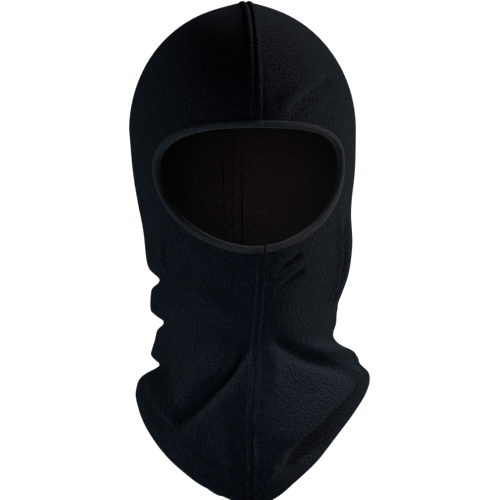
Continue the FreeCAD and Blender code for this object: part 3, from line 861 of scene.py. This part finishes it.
class BALACLAVA_OT_label(bpy.types.Operator):
    """Hangs a blank care label from the allowances at the nape"""
    bl_idname = "balaclava.label"
    bl_label = "Care Label"

    def execute(self, context):
        low, high = LABEL_BOX
        bm = bmesh.new()
        bmesh.ops.create_grid(bm, x_segments=20, y_segments=30, size=1)
        for vertex in bm.verts:
            across, up = vertex.co.x, (vertex.co.y + 1) / 2
            y = low.y + (high.y - low.y) * up + 0.0006 * math.sin(up * math.pi) - 0.0016 * (1 - up) ** 3
            vertex.co = (across * high.x, y - 0.0008 * across ** 2, low.z + (high.z - low.z) * up)
        label = finish_piece(bm, "care_label_tape", "label", "care_label", "label", "care_label")
        solid_cloth(label, 0.35 * MM)

        width = (high.x - low.x) / MM
        steps = np.linspace(-0.36 * width, 0.36 * width, 24)
        row = np.array([[x * MM, high.y + 0.0005, high.z + 0.0009] for x in steps])
        bm = sewn([(row, np.tile([0.0, -1.0, 0.2], (len(row), 1)))], 2.2 * MM, 0.5 * MM)
        finish_piece(bm, "care_label_stitch_thread", "thread", "hood", "thread", "care_label_stitch")
        return {"FINISHED"}


# ---------------------------------------------------------------- studio

def hang_light(lamp, place, target, power, colour):
    lamp.energy = power
    lamp.color = colour
    holder = bpy.data.objects.new(lamp.name, lamp)
    holder.location = place
    holder.rotation_euler = (Vector(target) - Vector(place)).to_track_quat("-Z", "Y").to_euler()
    holder.visible_camera = False
    bpy.context.scene.collection.objects.link(holder)


def area_light(name, place, target, size, power, colour):
    lamp = bpy.data.lights.new(name, "AREA")
    lamp.size = size
    hang_light(lamp, place, target, power, colour)


def spot_light(name, place, target, reach, power, colour):
    """A soft round light that fades out at a distance from its target."""
    lamp = bpy.data.lights.new(name, "SPOT")
    lamp.spot_size = 2 * math.atan(reach / (Vector(target) - Vector(place)).length)
    lamp.spot_blend = 1
    lamp.shadow_soft_size = 0.05
    hang_light(lamp, place, target, power, colour)


FLOOR_DROP = 2.5
FLOOR_REACH = 12


class BALACLAVA_OT_studio(bpy.types.Operator):
    """Sets up the pale floor, the soft lights and the camera"""
    bl_idname = "balaclava.studio"
    bl_label = "Studio"

    def execute(self, context):
        scene = context.scene
        look = scene.balaclava_look
        low, high = CAD_BOX
        middle = Vector((0, 0, (low.z + high.z) / 2))

        bm = bmesh.new()
        bmesh.ops.create_grid(bm, x_segments=1, y_segments=1, size=FLOOR_REACH)
        bmesh.ops.translate(bm, verts=bm.verts[:], vec=(0, 0, low.z - FLOOR_DROP))
        mesh = bpy.data.meshes.new("floor")
        bm.to_mesh(mesh)
        bm.free()
        floor = bpy.data.objects.new("floor", mesh)
        scene.collection.objects.link(floor)
        material, tree, shader = new_material("pale_floor")
        shader.inputs["Base Color"].default_value = (0.86, 0.86, 0.86, 1)
        shader.inputs["Roughness"].default_value = 0.9
        seen = tree.nodes.new("ShaderNodeLightPath")
        tree.links.new(seen.outputs["Is Camera Ray"], shader.inputs["Emission Strength"])
        shader.inputs["Emission Color"].default_value = (0.9, 0.9, 0.9, 1)
        mesh.materials.append(material)

        world = bpy.data.worlds.new("studio")
        scene.world = world
        world.use_nodes = True
        tree = world.node_tree
        back = tree.nodes["Background"]
        back.inputs["Color"].default_value = (1, 1, 1, 1)
        seen = tree.nodes.new("ShaderNodeLightPath")
        bright = span(tree, seen.outputs["Is Camera Ray"], 0, 1, look.ambient, 1.2)
        tree.links.new(bright, back.inputs["Strength"])

        chest = middle + Vector((0, 0, -0.10))
        area_light("key", (1.42, 0.17, 0.65), middle, 0.6, look.key_power, (1, 0.99, 0.97))
        area_light("rim", (-1.52, 0.25, -0.52), middle, 0.6, look.rim_power, (0.88, 0.95, 1))
        area_light("low_left", (-0.55, -0.60, -0.95), chest, 0.5, look.low_power, (0.58, 0.82, 1))
        area_light("low_right", (0.40, -0.75, -0.85), chest, 0.5, look.low_power * 0.45, (0.66, 0.86, 1))
        bib = Vector((0.040, -0.09, -0.285))
        spot_light("bib", bib + Vector((-0.55, -1.1, 0.75)), bib, 0.10, look.bib_power, (0.94, 0.97, 1))
        area_light("front", (0.25, -2.6, -0.05), middle, 0.5, look.front_power, (1, 0.96, 0.92))
        inside = Vector((0.026, high.y, (BINDING_BOX[0].z + BINDING_BOX[1].z) / 2))
        before = inside + Vector((-0.2, -2.6, 0.0))
        spot_light("inside", before, inside, 0.072, look.inside_power, (1, 0.9, 0.88))

        camera = bpy.data.cameras.new("camera")
        holder = bpy.data.objects.new("camera", camera)
        scene.collection.objects.link(holder)
        away, around, over = look.camera_distance, look.camera_turn, look.camera_rise
        way = Vector((math.sin(around) * math.cos(over), -math.cos(around) * math.cos(over), math.sin(over)))
        holder.location = middle + way * away
        holder.rotation_euler = (-way).to_track_quat("-Z", "Y").to_euler()
        camera.sensor_width = 36
        camera.lens = 36 * away / look.framed_width
        camera.shift_x, camera.shift_y = look.shift_across, look.shift_up
        camera.clip_end = 60
        scene.camera = holder
        scene.view_settings.view_transform = "Standard"
        return {"FINISHED"}


# ---------------------------------------------------------------- add-on

class BalaclavaLook(bpy.types.PropertyGroup):
    pile_deep: FloatVectorProperty(
        name="Pile shadow", description="Colour between the tufts", subtype="COLOR",
        default=(0.0017, 0.0032, 0.0062))
    pile_tips: FloatVectorProperty(
        name="Pile tips", description="Colour of the tufts' tips", subtype="COLOR",
        default=(0.0102, 0.0178, 0.0295))
    inside_deep: FloatVectorProperty(
        name="Inside shadow", description="Colour between the inside's fibres", subtype="COLOR",
        default=(0.022, 0.0165, 0.0175))
    inside_tips: FloatVectorProperty(
        name="Inside tips", description="Colour of the inside's fibres", subtype="COLOR",
        default=(0.047, 0.038, 0.040))
    sheen: FloatProperty(name="Sheen", description="Weight of the fibres' sheen", default=0.08, min=0, max=1)
    stitch_length: FloatProperty(
        name="Stitch length", description="Length of one stitch", default=2.6 * MM, unit="LENGTH")
    key_power: FloatProperty(name="Key", description="Power of the main light", default=24, unit="POWER")
    rim_power: FloatProperty(name="Rim", description="Power of the side light", default=7.2, unit="POWER")
    low_power: FloatProperty(name="Low", description="Power of the low light", default=2.4, unit="POWER")
    front_power: FloatProperty(
        name="Front", description="Power of the light by the camera", default=0.2, unit="POWER")
    bib_power: FloatProperty(
        name="Bib", description="Power of the spot on the bib", default=60, unit="POWER")
    inside_power: FloatProperty(
        name="Inside", description="Power of the spot on the inside", default=70, unit="POWER")
    ambient: FloatProperty(name="Ambient", description="Strength of the room's own light", default=0.01)
    camera_distance: FloatProperty(
        name="Camera distance", description="From the middle of the hood", default=9.0, unit="LENGTH")
    camera_turn: FloatProperty(
        name="Camera turn", description="Towards the wearer's left",
        default=math.radians(-4.4), unit="ROTATION")
    camera_rise: FloatProperty(
        name="Camera rise", description="Above the level", default=math.radians(0.0), unit="ROTATION")
    framed_width: FloatProperty(
        name="Framed width", description="Width seen at the hood", default=0.3725, unit="LENGTH")
    shift_across: FloatProperty(name="Shift across", description="Camera shift", default=0.014)
    shift_up: FloatProperty(name="Shift up", description="Camera shift", default=0.0)


OPERATORS = (
    BALACLAVA_OT_panels, BALACLAVA_OT_opening, BALACLAVA_OT_stitching,
    BALACLAVA_OT_label, BALACLAVA_OT_studio)


class BALACLAVA_PT_sidebar(bpy.types.Panel):
    bl_label = "Balaclava"
    bl_space_type = "VIEW_3D"
    bl_region_type = "UI"
    bl_category = "Balaclava"

    def draw(self, context):
        look = context.scene.balaclava_look
        for name in look.bl_rna.properties.keys():
            if name not in ("rna_type", "name"):
                self.layout.prop(look, name)
        for operator in OPERATORS:
            self.layout.operator(operator.bl_idname)


def register():
    for item in (BalaclavaLook, *OPERATORS, BALACLAVA_PT_sidebar):
        bpy.utils.register_class(item)
    bpy.types.Scene.balaclava_look = PointerProperty(type=BalaclavaLook)


def unregister():
    del bpy.types.Scene.balaclava_look
    for item in reversed((BalaclavaLook, *OPERATORS, BALACLAVA_PT_sidebar)):
        bpy.utils.unregister_class(item)


def main():
    register()
    mix_finishes()
    for operator in OPERATORS:
        group, name = operator.bl_idname.split(".")
        getattr(getattr(bpy.ops, group), name)()


if __name__ == "__main__":
    main()
